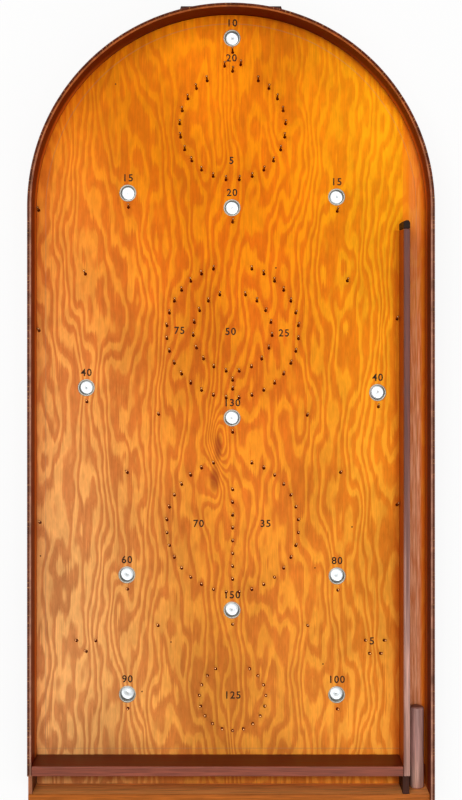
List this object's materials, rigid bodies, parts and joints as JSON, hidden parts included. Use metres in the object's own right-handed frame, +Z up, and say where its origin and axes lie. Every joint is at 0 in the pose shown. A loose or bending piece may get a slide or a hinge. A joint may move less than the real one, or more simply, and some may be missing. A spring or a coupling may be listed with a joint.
{
  "type": "bagatelle board",
  "caption": "Tabletop bagatelle pin board: arched plywood playfield in a bent-wood rim with tin cups, nails, a shooter lane with a push rod and a folding prop leg.",
  "frame": {"origin": "centre of the whole model's foot print, on the table", "axes": "+Y towards the arched far end, +X to the player's right, +Z up; the board slopes down towards the player about X"},
  "size_m": [0.406, 0.8318, 0.1115],
  "materials": {
    "fir_plywood": "amber shellac over rotary-cut fir plywood",
    "rim_wood": "dark stained bent wood, varnished",
    "rail_wood": "red-brown stained and varnished",
    "dark_wood": "dark stained end grain",
    "rod_wood": "worn varnish with a satin sheen",
    "tin_plate": "bright pressed tin plate",
    "nail_steel": "bronzed wire nail",
    "hinge_steel": "dull steel butt hinge and screws"
  },
  "bodies": {
    "board": {"ball_stop_rail": "rail_wood", "catch_nail_10": "nail_steel", "catch_nail_100": "nail_steel", "catch_nail_130": "nail_steel", "catch_nail_150": "nail_steel", "catch_nail_15_left": "nail_steel", "catch_nail_15_right": "nail_steel", "catch_nail_20": "nail_steel", "catch_nail_40_left": "nail_steel", "catch_nail_40_right": "nail_steel", "catch_nail_60": "nail_steel", "catch_nail_80": "nail_steel", "catch_nail_90": "nail_steel", "cup_10": "tin_plate", "cup_100": "tin_plate", "cup_130": "tin_plate", "cup_150": "tin_plate", "cup_15_left": "tin_plate", "cup_15_right": "tin_plate", "cup_20": "tin_plate", "cup_40_left": "tin_plate", "cup_40_right": "tin_plate", "cup_60": "tin_plate", "cup_80": "tin_plate", "cup_90": "tin_plate", "divider_step_block": "dark_wood", "divider_tip": "dark_wood", "front_rail": "rail_wood", "hinge_fixed_leaf": "hinge_steel", "hinge_pin": "hinge_steel", "hinge_screw_panel_1": "hinge_steel", "hinge_screw_panel_2": "hinge_steel", "lane_divider": "rail_wood", "left_rim_step": "rim_wood", "nail_edge_lower_left": "nail_steel", "nail_edge_lower_right": "nail_steel", "nail_edge_upper_left": "nail_steel", "nail_edge_upper_right": "nail_steel", "nail_inner_left": "nail_steel", "nail_inner_right": "nail_steel", "nail_lower_left": "nail_steel", "nail_lower_right": "nail_steel", "nail_middle_left": "nail_steel", "nail_middle_right": "nail_steel", "nail_shoulder_left": "nail_steel", "nail_upper_left": "nail_steel", "nail_upper_right": "nail_steel", "playfield_panel": "fir_plywood", "rim_inner_band": "rim_wood", "rim_outer_band": "rim_wood"},
    "plunger": {"plunger_rod": "rod_wood"},
    "leg": {"prop_leg": "rail_wood", "hinge_moving_leaf": "hinge_steel", "hinge_screw_leg_1": "hinge_steel", "hinge_screw_leg_2": "hinge_steel"}
  },
  "joints": [
    {"name": "plunger_slide", "type": "slide", "parent": "board", "child": "plunger", "axis": [0, 0.9966, 0.0819], "range_m": [0, 0.48]},
    {"name": "leg_fold", "type": "hinge", "parent": "board", "child": "leg", "pos_m": [0, 0.37103, 0.06439], "axis": [-1, 0, 0], "range_deg": [0, 111]}
  ]
}
